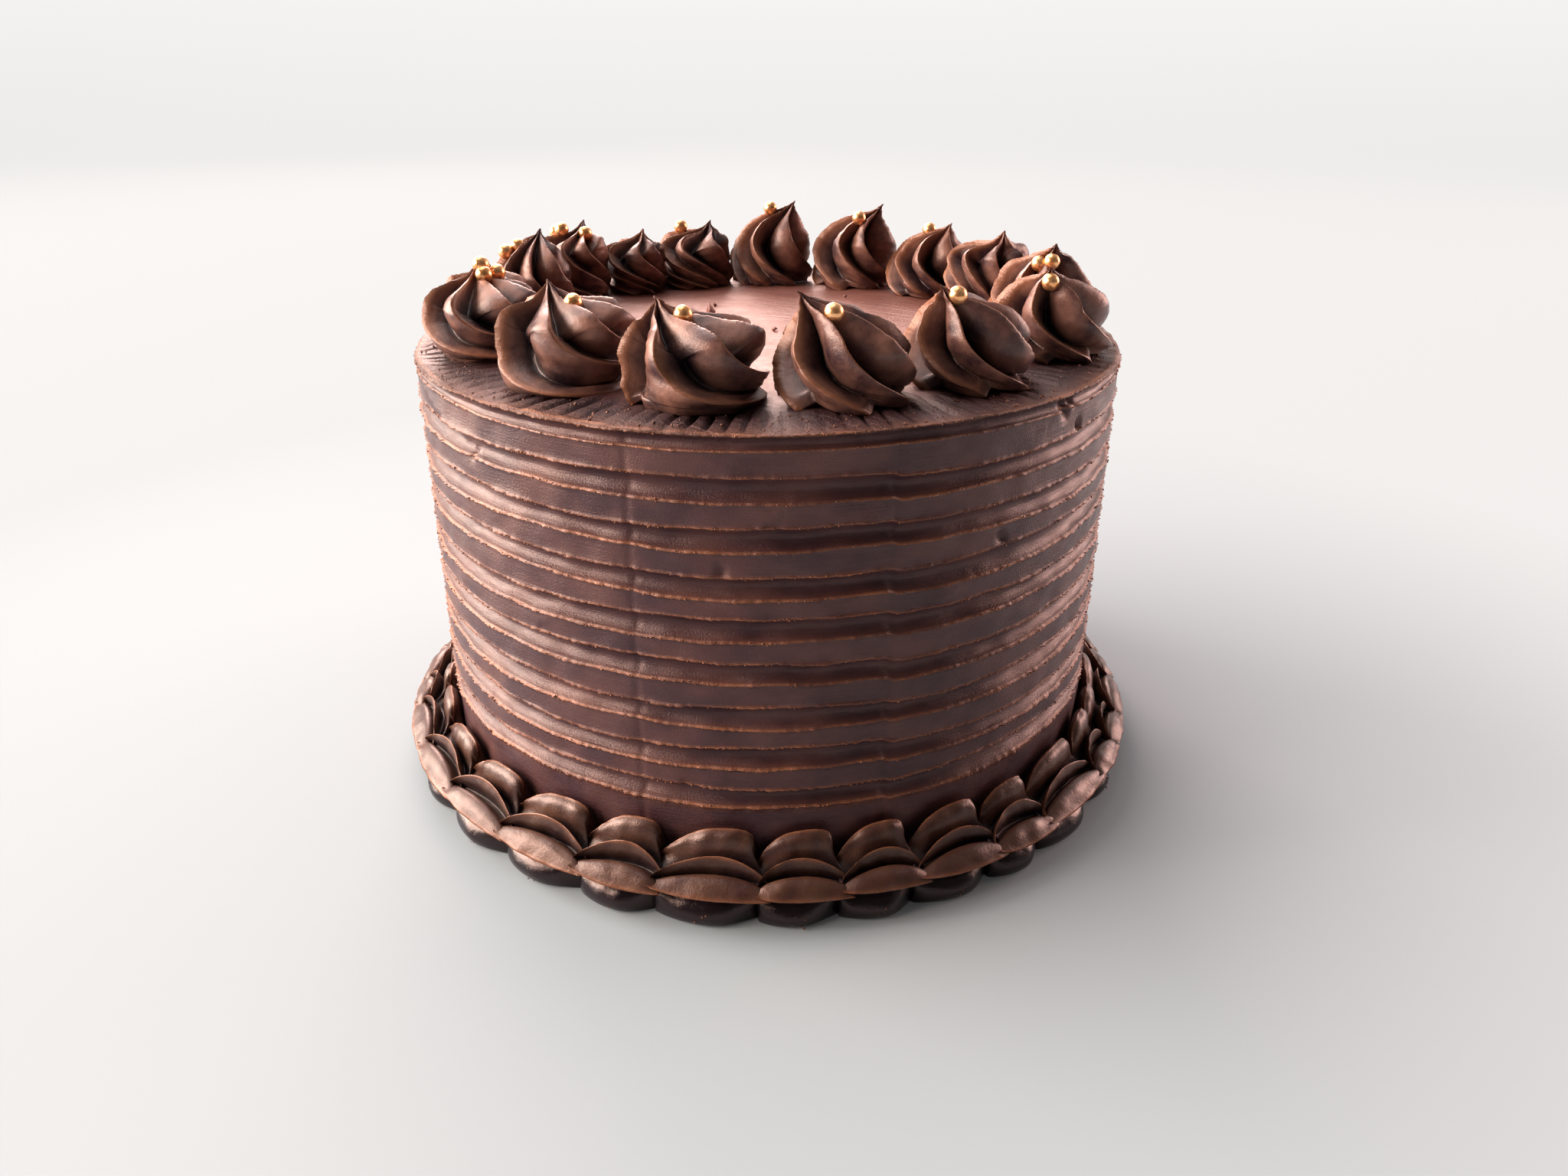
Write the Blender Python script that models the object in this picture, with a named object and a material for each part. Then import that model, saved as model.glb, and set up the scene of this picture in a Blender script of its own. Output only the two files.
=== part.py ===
"""Round chocolate cake with a combed side, a ring of piped rosettes and a piped shell border.

Units are metres. Z is up, the cake stands on Z = 0 and its front faces -Y. An azimuth is measured in
degrees from the front and grows towards +X. Every piece is one closed body, a small gap from the next.
"""

import math
import random

import bmesh
import bpy
from mathutils import Vector

# Driving sizes of the cake
MM = 0.001
GAP = 0.3 * MM
CAKE_RADIUS = 88.0 * MM
CAKE_HEIGHT = 111.0 * MM
RIM_ROUNDING = 1.6 * MM
RIM_BEVEL = (0.2, 0.4)
CAKE_SEGMENTS = 42

# The comb's grooves in the side, counted from the base
GROOVE_COUNT = 9
LOWEST_GROOVE = 26.5 * MM
GROOVE_PITCH = 10.25 * MM
GROOVE_WIDTH = 5.1 * MM
GROOVE_DEPTH = 2.2 * MM
TOP_GROOVE_WIDTH = 3.0 * MM
TOP_GROOVE_DEPTH = 1.0 * MM
GROOVE_ARC_POINTS = 4

# The rosettes, from the front round to the right: azimuth (degrees), ring radius, width, height, lean (mm)
ROSETTES = (
    (-13, 65, 29.5, 20.0, 7.0),
    (14, 65, 29.5, 21.5, 9.0),
    (41, 66, 28.5, 21.0, 9.0),
    (70, 71, 27.5, 20.5, 7.0),
    (94, 71, 25.5, 21.0, 7.5),
    (115, 67, 22.6, 20.5, 6.0),
    (135, 66, 22.6, 19.5, 7.0),
    (157, 65, 24.6, 23.0, 8.0),
    (179, 65, 23.6, 23.0, 4.0),
    (200, 65, 22.2, 17.5, 4.0),
    (218, 64, 17.4, 16.5, 2.5),
    (234, 69, 20.2, 20.0, 5.0),
    (252, 67, 21.4, 20.0, 6.0),
    (270, 72, 21.6, 16.0, 4.0),
    (290, 71, 26.4, 19.0, 6.0),
    (319, 66, 28.5, 20.5, 4.5),
)
FINS = 7
FIN_POINTS = 4
FLUTE_DEPTH = 0.34
# Radians that the fins turn through from foot to peak, and how the turn and the lean grow with height
SWIRL_TURN = 2.1
TURN_GROWTH = 0.8
LEAN_GROWTH = 2.0
# Share of the rosette's height, and of its half width there, from the foot up to just under the peak
ROSETTE_LEVELS = ((0.0, 0.88), (0.14, 1.0), (0.38, 0.96), (0.6, 0.76), (0.8, 0.4), (0.93, 0.13))

# The sugar pearls: rosette, direction in degrees from its peak (0 outwards, 90 along the ring) and share of
# its height
PEARL_RADIUS = 2.0 * MM
PEARL_SIDES = 7
PEARL_RINGS = 5
PEARL_SHOWING = 0.45
PEARLS = (
    (1, 158, 0.80),
    (2, 142, 0.80),
    (3, 130, 0.78),
    (4, 115, 0.80),
    (5, 160, 0.80),
    (5, 208, 0.78),
    (7, 90, 0.82),
    (8, 90, 0.82),
    (9, 90, 0.88),
    (10, 95, 0.86),
    (12, 40, 0.82),
    (12, 104, 0.82),
    (12, 188, 0.78),
    (13, 58, 0.80),
    (13, 122, 0.82),
    (15, 104, 0.80),
    (15, 150, 0.80),
    (15, 196, 0.82),
    (16, 120, 0.77),
)

# The shell border round the foot
SHELL_COUNT = 32
SHELL_STATIONS = 5
BORDER_INNER = CAKE_RADIUS + GAP
# Reach and height in mm of the border's section where a shell is fullest, from the inner foot over the top
BORDER_SECTION = (
    (0.3, 0.0),
    (0.3, 16.0),
    (2.2, 20.5),
    (4.4, 13.2),
    (6.6, 16.6),
    (7.8, 10.8),
    (10.2, 11.8),
    (13.4, 7.6),
    (11.2, 4.6),
    (13.4, 1.4),
    (12.6, 0.0),
)
# Reach and height in mm of the point that a shell narrows towards
SHELL_CORE = (4.5, 6.5)
SHELL_PINCH = 0.36
SHELL_ROUNDNESS = 0.7
SHELL_SLANT = 0.16
SHELL_UNEVENNESS = 0.03
SEED = 11

# Colours and roughness
ICING = (0.045, 0.021, 0.016, 1.0)
ICING_ROUGHNESS = 0.5
PIPING = (0.050, 0.024, 0.016, 1.0)
PIPING_ROUGHNESS = 0.42
CREASE_ANGLE = math.radians(40)


def clear_scene():
    """Remove what the file holds at the start."""
    for item in list(bpy.data.objects):
        bpy.data.objects.remove(item, do_unlink=True)


def chocolate(name, colour, roughness):
    """Give one object its own chocolate material."""
    material = bpy.data.materials.new(name)
    material.use_nodes = True
    shader = material.node_tree.nodes["Principled BSDF"]
    shader.inputs["Base Color"].default_value = colour
    shader.inputs["Roughness"].default_value = roughness
    return material


def finish(bm, name, colour, roughness):
    """Turn the mesh into a smooth-shaded object of the scene, its faces pointing out."""
    bmesh.ops.recalc_face_normals(bm, faces=bm.faces)
    mesh = bpy.data.meshes.new(name)
    bm.to_mesh(mesh)
    bm.free()
    mesh.shade_smooth()
    mesh.set_sharp_from_angle(angle=CREASE_ANGLE)
    mesh.materials.append(chocolate(name + "_finish", colour, roughness))
    item = bpy.data.objects.new(name, mesh)
    bpy.context.scene.collection.objects.link(item)
    return item


def around(azimuth, radius, height):
    """The point at an azimuth in degrees, a radius and a height."""
    turn = math.radians(azimuth)
    return Vector((radius * math.sin(turn), -radius * math.cos(turn), height))


def bridge(bm, lower, upper):
    """Join two rings of equally many vertices with quads."""
    for i in range(len(lower)):
        k = (i + 1) % len(lower)
        bm.faces.new((lower[i], lower[k], upper[k], upper[i]))


def groove(centre, width, depth):
    """Points of one round-bottomed groove, from its lower edge to its upper edge."""
    steps = [math.pi * i / (GROOVE_ARC_POINTS - 1) for i in range(GROOVE_ARC_POINTS)]
    return [(CAKE_RADIUS - depth * math.sin(t), centre - width / 2 * math.cos(t)) for t in steps]


def side_profile():
    """Radius and height of the cake's side from the axis at the foot to the axis at the top."""
    points = [(0.0, 0.0), (CAKE_RADIUS, 0.0)]
    for number in range(GROOVE_COUNT - 1):
        points += groove(LOWEST_GROOVE + number * GROOVE_PITCH, GROOVE_WIDTH, GROOVE_DEPTH)
    top_groove = LOWEST_GROOVE + (GROOVE_COUNT - 1) * GROOVE_PITCH - GROOVE_WIDTH / 4
    points += groove(top_groove, TOP_GROOVE_WIDTH, TOP_GROOVE_DEPTH)
    points.append((CAKE_RADIUS - RIM_ROUNDING * RIM_BEVEL[0], CAKE_HEIGHT - RIM_ROUNDING * RIM_BEVEL[1]))
    points += [(CAKE_RADIUS - RIM_ROUNDING, CAKE_HEIGHT), (0.0, CAKE_HEIGHT)]
    return points


def cake_body():
    """The cake under its combed icing, turned round the Z axis."""
    bm = bmesh.new()
    points = [bm.verts.new((radius, 0.0, height)) for radius, height in side_profile()]
    edges = [bm.edges.new(pair) for pair in zip(points, points[1:])]
    bmesh.ops.spin(
        bm,
        geom=points + edges,
        axis=(0, 0, 1),
        cent=(0, 0, 0),
        angle=2 * math.pi,
        steps=CAKE_SEGMENTS,
        use_merge=True,
    )
    bmesh.ops.remove_doubles(bm, verts=bm.verts, dist=0.001 * MM)
    return finish(bm, "cake_body", ICING, ICING_ROUGHNESS)


def rosette_axis(share, height, lean):
    """Centre line of a rosette at a share of its height: it leans back along the ring towards its peak."""
    return Vector((-lean * share**LEAN_GROWTH, 0.0, share * height))


def fin_ring(share, half_width, height, lean):
    """One level of the star-shaped body, turned further the higher it lies."""
    centre = rosette_axis(share, height, lean)
    points = []
    for i in range(FINS * FIN_POINTS):
        wave = 0.5 + 0.5 * math.cos(2 * math.pi * i / FIN_POINTS)
        radius = half_width * (1 - FLUTE_DEPTH + FLUTE_DEPTH * wave)
        turn = 2 * math.pi * i / (FINS * FIN_POINTS) - SWIRL_TURN * share**TURN_GROWTH
        points.append(centre + Vector((radius * math.cos(turn), radius * math.sin(turn), 0.0)))
    return points


def profile_at(share):
    """A rosette's half width at a share of its height, as a share of its greatest half width."""
    for (low, wide), (high, narrow) in zip(ROSETTE_LEVELS, ROSETTE_LEVELS[1:]):
        if share <= high:
            return wide + (narrow - wide) * (share - low) / (high - low)
    return ROSETTE_LEVELS[-1][1]


def pearl(number, direction, share):
    """One sugar pearl, sunk into the flank of a rosette."""
    width, height, lean = (value * MM for value in ROSETTES[number - 1][2:])
    flank = width / 2 * profile_at(share) * (1 - FLUTE_DEPTH / 2)
    turn = math.radians(direction)
    reach = flank + PEARL_RADIUS * PEARL_SHOWING
    centre = rosette_axis(share, height, lean) + Vector((math.sin(turn), -math.cos(turn), 0.0)) * reach
    bm = bmesh.new()
    bmesh.ops.create_uvsphere(bm, u_segments=PEARL_SIDES, v_segments=PEARL_RINGS, radius=PEARL_RADIUS)
    bmesh.ops.translate(bm, verts=bm.verts, vec=centre)
    return finish(bm, "pearl", PIPING, PIPING_ROUGHNESS)


def fuse(item, others):
    """Join small pieces to an object with one Boolean union, and remove them."""
    group = bpy.data.collections.new(item.name + "_toppings")
    bpy.context.scene.collection.children.link(group)
    for other in others:
        group.objects.link(other)
        bpy.context.scene.collection.objects.unlink(other)
    union = item.modifiers.new("toppings", "BOOLEAN")
    union.operation = "UNION"
    union.operand_type = "COLLECTION"
    union.collection = group
    union.solver = "EXACT"
    bpy.context.view_layer.update()
    graph = bpy.context.evaluated_depsgraph_get()
    fused = bpy.data.meshes.new_from_object(item.evaluated_get(graph), depsgraph=graph)
    item.modifiers.remove(union)
    item.data = fused
    for other in others:
        bpy.data.objects.remove(other, do_unlink=True)
    bpy.data.collections.remove(group)


def rosette(number, azimuth, ring, width, height, lean):
    """One piped rosette with the pearls that lie on it, standing a small gap above the cake."""
    bm = bmesh.new()
    rings = []
    for share, wide in ROSETTE_LEVELS:
        points = fin_ring(share, wide * width / 2, height, lean)
        rings.append([bm.verts.new(point) for point in points])
    for lower, upper in zip(rings, rings[1:]):
        bridge(bm, lower, upper)
    bm.faces.new(reversed(rings[0]))
    peak = bm.verts.new(rosette_axis(1.0, height, lean))
    for i, vertex in enumerate(rings[-1]):
        bm.faces.new((vertex, rings[-1][(i + 1) % len(rings[-1])], peak))
    item = finish(bm, f"rosette_{number:02d}", PIPING, PIPING_ROUGHNESS)
    toppings = [pearl(number, direction, share) for owner, direction, share in PEARLS if owner == number]
    if toppings:
        fuse(item, toppings)
    item.location = around(azimuth, ring, CAKE_HEIGHT + GAP)
    item.rotation_euler = (0.0, 0.0, math.radians(azimuth))
    return item


def shell_station(index, draw):
    """The border's section at one station: full in the middle of a shell and pinched where shells meet."""
    shell, step = divmod(index, SHELL_STATIONS)
    fullness = math.sin(math.pi * step / SHELL_STATIONS) ** SHELL_ROUNDNESS
    swell = 1 - SHELL_PINCH * (1 - fullness) + draw[shell]
    azimuth = 360.0 * index / (SHELL_COUNT * SHELL_STATIONS)
    core_out, core_up = SHELL_CORE
    points = []
    for out, up in BORDER_SECTION:
        radius = out if out < core_out else core_out + (out - core_out) * swell
        height = up * swell if up < core_up else core_up + (up - core_up) * swell
        drift = math.degrees(SHELL_SLANT * (up - core_up) * MM / BORDER_INNER)
        points.append(around(azimuth + drift, BORDER_INNER + radius * MM, height * MM))
    return points


def shell_border():
    """The piped chain of shells round the foot, as one closed ring."""
    chance = random.Random(SEED)
    draw = [chance.uniform(-SHELL_UNEVENNESS, SHELL_UNEVENNESS) for _ in range(SHELL_COUNT)]
    bm = bmesh.new()
    rings = []
    for index in range(SHELL_COUNT * SHELL_STATIONS):
        rings.append([bm.verts.new(point) for point in shell_station(index, draw)])
    for i, ring in enumerate(rings):
        bridge(bm, ring, rings[(i + 1) % len(rings)])
    return finish(bm, "shell_border", PIPING, PIPING_ROUGHNESS)


def build():
    """Build the whole cake."""
    clear_scene()
    cake_body()
    for number, (azimuth, *sizes) in enumerate(ROSETTES, start=1):
        rosette(number, azimuth, *(size * MM for size in sizes))
    shell_border()


build()
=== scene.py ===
"""Looks of the chocolate cake: combed icing, piped rosettes with sugar pearls, and a piped shell border.

Metres throughout. Z is up and the front faces -Y. An azimuth grows from the front (0) towards +X.
"""
import math

import bpy
import numpy as np
from mathutils import Matrix, Vector


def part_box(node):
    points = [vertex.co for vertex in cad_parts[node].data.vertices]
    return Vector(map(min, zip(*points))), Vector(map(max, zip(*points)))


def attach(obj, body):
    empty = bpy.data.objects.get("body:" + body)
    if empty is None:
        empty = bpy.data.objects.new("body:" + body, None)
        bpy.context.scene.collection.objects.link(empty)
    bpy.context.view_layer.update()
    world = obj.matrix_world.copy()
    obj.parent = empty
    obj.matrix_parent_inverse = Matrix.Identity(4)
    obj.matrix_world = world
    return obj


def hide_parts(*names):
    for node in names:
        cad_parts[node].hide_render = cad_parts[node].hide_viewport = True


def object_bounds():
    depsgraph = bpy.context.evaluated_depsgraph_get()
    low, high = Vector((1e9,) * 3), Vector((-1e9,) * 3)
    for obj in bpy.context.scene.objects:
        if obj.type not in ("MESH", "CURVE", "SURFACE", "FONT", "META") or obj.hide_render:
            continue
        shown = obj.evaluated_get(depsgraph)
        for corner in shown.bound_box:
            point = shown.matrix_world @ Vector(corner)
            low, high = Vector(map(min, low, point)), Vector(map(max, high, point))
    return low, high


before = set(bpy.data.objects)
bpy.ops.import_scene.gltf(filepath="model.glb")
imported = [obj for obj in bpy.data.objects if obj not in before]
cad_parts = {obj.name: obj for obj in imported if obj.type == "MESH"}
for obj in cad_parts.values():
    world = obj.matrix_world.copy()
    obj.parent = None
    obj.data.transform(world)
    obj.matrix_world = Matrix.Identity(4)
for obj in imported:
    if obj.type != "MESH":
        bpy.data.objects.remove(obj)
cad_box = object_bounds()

MM = 0.001

# Sizes taken from the frame
CAKE_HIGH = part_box("cake_body")[1]
CAKE_RADIUS = CAKE_HIGH.x
CAKE_TOP = CAKE_HIGH.z

# The photograph's camera: 26 mm lens look, from the front and above
PHOTO_WIDTH = 2048
FOCAL_PIXELS = 1538.0
CAMERA_PLACE = (0.0, -302.6 * MM, 179.9 * MM)
CAMERA_PITCH = math.radians(25.33)
CAMERA_YAW = math.radians(0.80)
CAMERA_ROLL = math.radians(-0.19)


# Numbers that wander smoothly

def wander(angle, seed, low, high, terms=9):
    """Smooth periodic noise of about -1 to 1 round the cake, with waves of low to high cycles a turn."""
    draw = np.random.default_rng(seed)
    total = np.zeros_like(angle)
    for _ in range(terms):
        cycles = draw.integers(low, high + 1)
        total += draw.uniform(0.5, 1.0) * np.sin(cycles * angle + draw.uniform(0, 2 * math.pi))
    return total / math.sqrt(terms)


def speckle(angle, height, seed, size, terms=24):
    """Smooth noise of about -1 to 1 over the side, in waves about size metres long."""
    draw = np.random.default_rng(seed)
    total = np.zeros(np.broadcast(angle, height).shape)
    for _ in range(terms):
        turn = draw.uniform(0, 2 * math.pi)
        rate = 2 * math.pi / (size * draw.uniform(0.7, 1.6))
        cycles = round(CAKE_RADIUS * rate * math.cos(turn))
        total += np.sin(cycles * angle + rate * math.sin(turn) * height + draw.uniform(0, 2 * math.pi))
    return total / math.sqrt(terms) * 1.2


def bump_at(value, centre, width):
    """A smooth hill of height 1 at centre."""
    return np.exp(-(((value - centre) / width) ** 2))


def smooth_step(value, low, high):
    """0 below low, 1 above high, smooth between."""
    share = np.clip((value - low) / (high - low), 0.0, 1.0)
    return share * share * (3 - 2 * share)


# Meshes from grids of points

def grid_faces(rows, columns, closed_rows=False):
    """Quads of a grid whose columns close on themselves, and whose rows may too."""
    last = rows if closed_rows else rows - 1
    i, j = np.meshgrid(np.arange(last), np.arange(columns), indexing="ij")
    below, above = i * columns, (i + 1) % rows * columns
    right = (j + 1) % columns
    return np.stack([below + j, below + right, above + right, above + j], axis=-1).reshape(-1, 4)


def capped_grid(points, edge):
    """A closed surface from rings of points, with a centre point at each end.

    Gives its vertices, quads, triangles and edge mask.
    """
    rows, columns = points.shape[:2]
    centres = np.stack([points[0].mean(axis=0), points[-1].mean(axis=0)])
    vertices = np.concatenate([points.reshape(-1, 3), centres])
    ends = [edge[0].mean(), edge[-1].mean()]
    mask = np.concatenate([edge.reshape(-1), ends])
    ring = np.arange(columns)
    following = (ring + 1) % columns
    first = np.stack([following, ring, np.full(columns, rows * columns)], axis=1)
    top = (rows - 1) * columns
    last = np.stack([top + ring, top + following, np.full(columns, rows * columns + 1)], axis=1)
    return vertices, grid_faces(rows, columns), np.concatenate([first, last]), mask


def join(surfaces):
    """Several surfaces as one."""
    vertices, quads, triangles, masks = [], [], [], []
    start = 0
    for some, fours, threes, mask in surfaces:
        vertices.append(some)
        quads.append(fours + start)
        triangles.append(threes + start)
        masks.append(mask)
        start += len(some)
    return tuple(np.concatenate(part) for part in (vertices, quads, triangles, masks))


def make_piece(name, surface, material):
    """A smooth mesh object with its edge mask as a vertex attribute."""
    vertices, quads, triangles, mask = surface
    mesh = bpy.data.meshes.new(name)
    mesh.vertices.add(len(vertices))
    mesh.vertices.foreach_set("co", vertices.astype(np.float32).ravel())
    corners = np.concatenate([quads.ravel(), triangles.ravel()])
    mesh.loops.add(len(corners))
    mesh.loops.foreach_set("vertex_index", corners.astype(np.int32))
    sizes = np.concatenate([np.full(len(quads), 4), np.full(len(triangles), 3)])
    mesh.polygons.add(len(sizes))
    mesh.polygons.foreach_set("loop_start", np.concatenate([[0], np.cumsum(sizes)[:-1]]).astype(np.int32))
    mesh.update(calc_edges=True)
    mesh.validate()
    mesh.shade_smooth()
    # Edge mask: above zero on thin edges and where painted sheen goes, below zero in creases that get painted
    # shade
    layer = mesh.attributes.new("edge", "FLOAT", "POINT")
    layer.data.foreach_set("value", mask.astype(np.float32))
    mesh.materials.append(material)
    item = bpy.data.objects.new(name, mesh)
    bpy.context.scene.collection.objects.link(item)
    return item


def place(item, slot, *nodes):
    """Hang a piece on the frame in the place of its CAD nodes."""
    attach(item, "root")
    if nodes:
        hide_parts(*nodes)


# Materials

class Nodes:
    """A material's node tree, with short calls to add and join nodes."""

    def __init__(self, name):
        self.material = bpy.data.materials.new(name)
        self.material.use_nodes = True
        self.tree = self.material.node_tree
        self.shader = self.tree.nodes["Principled BSDF"]
        self.position = self.add("ShaderNodeTexCoord").outputs["Object"]

    def add(self, kind, **settings):
        node = self.tree.nodes.new(kind)
        for key, value in settings.items():
            setattr(node, key, value)
        return node

    def link(self, source, target):
        self.tree.links.new(source, target)

    def stretched(self, scale):
        """The position in metres, scaled on each axis."""
        mapping = self.add("ShaderNodeMapping")
        mapping.inputs["Scale"].default_value = scale
        self.link(self.position, mapping.inputs["Vector"])
        return mapping.outputs["Vector"]

    def noise(self, scale, detail=4.0, roughness=0.55):
        """Noise whose grain follows the scale along each axis, in cycles per metre."""
        node = self.add("ShaderNodeTexNoise")
        node.inputs["Scale"].default_value = 1.0
        node.inputs["Detail"].default_value = detail
        node.inputs["Roughness"].default_value = roughness
        self.link(self.stretched(scale), node.inputs["Vector"])
        return node.outputs["Fac"]

    def from_axis(self):
        """Distance from the cake's upright axis."""
        flat = self.add("ShaderNodeVectorMath", operation="MULTIPLY")
        flat.inputs[1].default_value = (1.0, 1.0, 0.0)
        self.link(self.position, flat.inputs[0])
        length = self.add("ShaderNodeVectorMath", operation="LENGTH")
        self.link(flat.outputs["Vector"], length.inputs[0])
        return length.outputs["Value"]

    def swept_streaks(self):
        """Fine streaks that swing round the pivot of the spread top."""
        away = self.add("ShaderNodeVectorMath", operation="SUBTRACT")
        away.inputs[1].default_value = (*SPREAD_PIVOT, 0.0)
        self.link(self.position, away.inputs[0])
        flat = self.add("ShaderNodeVectorMath", operation="MULTIPLY")
        flat.inputs[1].default_value = (1.0, 1.0, 0.0)
        self.link(away.outputs["Vector"], flat.inputs[0])
        length = self.add("ShaderNodeVectorMath", operation="LENGTH")
        self.link(flat.outputs["Vector"], length.inputs[0])
        axes = self.add("ShaderNodeSeparateXYZ")
        self.link(self.position, axes.inputs["Vector"])
        joined = self.add("ShaderNodeCombineXYZ")
        self.link(self.math("MULTIPLY", length.outputs["Value"], 700.0), joined.inputs["X"])
        self.link(self.math("MULTIPLY", axes.outputs["X"], 40.0), joined.inputs["Y"])
        streaks = self.add("ShaderNodeTexNoise")
        streaks.inputs["Scale"].default_value = 1.0
        streaks.inputs["Detail"].default_value = 4.0
        self.link(joined.outputs["Vector"], streaks.inputs["Vector"])
        return streaks.outputs["Fac"]

    def ramp(self, value, low, high, start=0.0, end=1.0):
        """The value's range low to high, spread over start to end."""
        node = self.add("ShaderNodeMapRange")
        node.inputs["From Min"].default_value = low
        node.inputs["From Max"].default_value = high
        node.inputs["To Min"].default_value = start
        node.inputs["To Max"].default_value = end
        self.link(value, node.inputs["Value"])
        return node.outputs["Result"]

    def math(self, operation, a, b):
        node = self.add("ShaderNodeMath", operation=operation)
        for socket, value in zip(node.inputs, (a, b)):
            if isinstance(value, float):
                socket.default_value = value
            else:
                self.link(value, socket)
        return node.outputs["Value"]

    def mix(self, share, a, b):
        """Colour a where share is 0, colour b where it is 1."""
        node = self.add("ShaderNodeMix", data_type="RGBA")
        self.link(share, node.inputs["Factor"])
        for socket, value in ((node.inputs["A"], a), (node.inputs["B"], b)):
            if isinstance(value, tuple):
                socket.default_value = value
            else:
                self.link(value, socket)
        return node.outputs["Result"]

    def mask(self, name):
        return self.add("ShaderNodeAttribute", attribute_name=name).outputs["Fac"]

    def bump(self, height, strength, distance, normal=None):
        node = self.add("ShaderNodeBump")
        node.inputs["Strength"].default_value = strength
        node.inputs["Distance"].default_value = distance
        self.link(height, node.inputs["Height"])
        if normal is not None:
            self.link(normal, node.inputs["Normal"])
        return node.outputs["Normal"]

    def finish(self, colour, roughness, normal):
        self.link(colour, self.shader.inputs["Base Color"])
        self.link(roughness, self.shader.inputs["Roughness"])
        self.link(normal, self.shader.inputs["Normal"])
        return self.material


# Colours, as linear red, green, blue and alpha

WARM_SHEEN = (1.0, 0.75, 0.71, 1.0)
DARK_ICING = (0.036, 0.0140, 0.0200, 1.0)
WARM_ICING = (0.086, 0.0350, 0.0330, 1.0)
ROSETTE_DARK = (0.038, 0.0170, 0.0195, 1.0)
ROSETTE_WARM = (0.235, 0.1080, 0.0780, 1.0)
BORDER_DARK = (0.013, 0.0060, 0.0088, 1.0)
BORDER_WARM = (0.052, 0.0262, 0.0190, 1.0)
# Painted sheen: the spread top is made lighter to stand in for the sheen of the light behind
TOP_PAINTED_SHEEN = (0.170, 0.0620, 0.0480, 1.0)
# Painted shadow: the strip outside the rosettes is darkened as if the rosettes shaded it
STRIP_PAINTED_SHADOW = (0.016, 0.0065, 0.0080, 1.0)
# Painted shade: near-black for the piping's deep creases and flutes
PAINTED_CREASE_SHADE = (0.0055, 0.0032, 0.0055, 1.0)
# Painted shade under the shells' leaves, near-black on their feet
SHADED_UNDERSIDE = (0.009, 0.0050, 0.0075, 1.0)
# Orange-brown of the thin burrs, partly a painted highlight on their crisp edges
BURR_COLOUR_AND_HIGHLIGHT = (0.385, 0.1400, 0.0590, 1.0)
# Orange-brown of the piping's thin edges, partly a painted highlight, and the painted golden sheen of the
# shells' fins
PIPED_EDGE_HIGHLIGHT_AND_SHEEN = (0.255, 0.0940, 0.0430, 1.0)
PEARL_DEEP = (0.88, 0.37, 0.13, 1.0)
PEARL_LIGHT = (1.00, 0.56, 0.28, 1.0)
PAPER_DIM = (0.285, 0.325, 0.36, 1.0)
PAPER_BRIGHT = (0.305, 0.345, 0.38, 1.0)
PAPER_FAR = (0.025, 0.026, 0.028, 1.0)
PAPER_GLOW_COLOUR = (1.0, 0.985, 0.965, 1.0)
# Brightness of the glow that keeps the far paper even, and how much brighter it is where the paper has risen
PAPER_GLOW = 0.83
PAPER_GLOW_ABOVE = 1.08


def icing_material():
    """Combed chocolate icing: dark satin drawn out level, orange-brown on its thin burrs with a painted
    highlight, a painted sheen that makes the top lighter, and a painted shadow on the strip by the rim.
    """
    n = Nodes("combed_icing")
    n.shader.inputs["Specular IOR Level"].default_value = 0.55
    n.shader.inputs["Specular Tint"].default_value = WARM_SHEEN
    cloud = n.noise((60, 60, 90), 3.0)
    colour = n.mix(n.ramp(cloud, 0.35, 0.7), DARK_ICING, WARM_ICING)
    axes = n.add("ShaderNodeSeparateXYZ")
    n.link(n.position, axes.inputs["Vector"])
    inside = n.ramp(n.from_axis(), 74 * MM, 62 * MM)
    on_top = n.ramp(axes.outputs["Z"], CAKE_TOP - 3.0 * MM, CAKE_TOP - 1.0 * MM)
    # Painted sheen: lighter colour over the top inside the rosette ring
    colour = n.mix(n.math("MULTIPLY", on_top, inside), colour, TOP_PAINTED_SHEEN)
    # Painted shadow: darker colour all round the strip between the rosettes and the rim, broken up by noise
    strip = n.math("MULTIPLY", on_top, n.ramp(n.from_axis(), 68 * MM, 76 * MM))
    colour = n.mix(n.math("MULTIPLY", strip, n.ramp(cloud, 0.30, 0.60, 0.75, 0.25)), colour, STRIP_PAINTED_SHADOW)
    grain = n.noise((2600, 2600, 2600), 3.0, 0.6)
    # The thin burrs turn orange-brown: their own colour, partly a painted highlight on their crisp edges
    thin = n.math("MULTIPLY", n.mask("edge"), n.ramp(grain, 0.25, 0.62, 0.35, 1.0))
    thin = n.math("MULTIPLY", thin, n.ramp(n.noise((75, 75, 160), 3.0), 0.34, 0.62, 0.35, 1.0))
    colour = n.mix(thin, colour, BURR_COLOUR_AND_HIGHLIGHT)
    drawn = n.noise((90, 90, 2400), 4.0, 0.6)
    satin = n.ramp(n.noise((220, 220, 900), 3.0), 0.3, 0.7, 0.34, 0.50)
    roughness = n.math("ADD", satin, n.ramp(on_top, 0.0, 1.0, 0.0, 0.05))
    normal = n.bump(drawn, 0.35, 0.30 * MM)
    normal = n.bump(n.math("MULTIPLY", on_top, n.swept_streaks()), 0.9, 0.60 * MM, normal)
    normal = n.bump(grain, 0.75, 0.16 * MM, normal)
    rough = n.math("MULTIPLY", strip, n.noise((1100, 1100, 1100), 4.0, 0.7))
    normal = n.bump(rough, 0.9, 0.55 * MM, normal)
    return n.finish(colour, roughness, normal)


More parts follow.
